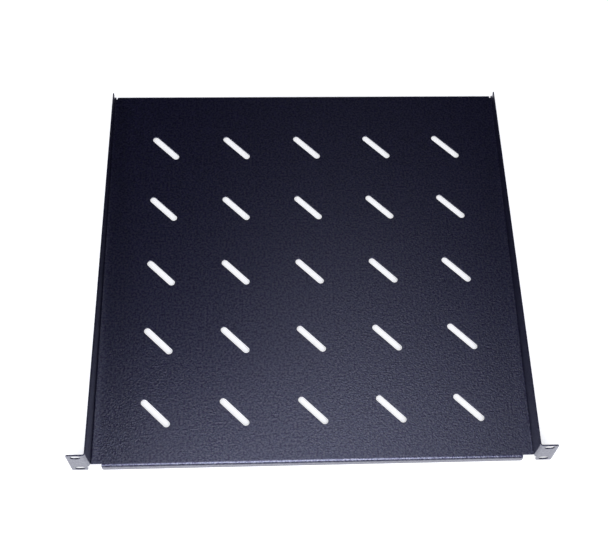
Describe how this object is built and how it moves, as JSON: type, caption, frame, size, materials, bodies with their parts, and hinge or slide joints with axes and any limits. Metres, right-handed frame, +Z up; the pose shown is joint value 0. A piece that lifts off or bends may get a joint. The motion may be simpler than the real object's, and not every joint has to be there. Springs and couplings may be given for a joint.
{
  "type": "cantilever rack shelf",
  "caption": "Shallow vented shelf for a 19-inch rack, folded from sheet steel, with tapering side walls and slotted mounting ears at the front.",
  "frame": {"origin": "middle of the four mounting slots, on the rear faces of the ears, which seat against the rack's front rails", "axes": "+X to the right as seen from the front, +Y towards the rear of the rack, +Z up"},
  "size_m": [0.4826, 0.4492, 0.0449],
  "materials": {
    "coated_steel": "fine-textured powder coat"
  },
  "bodies": {
    "root": {"shelf": "coated_steel"}
  },
  "joints": []
}
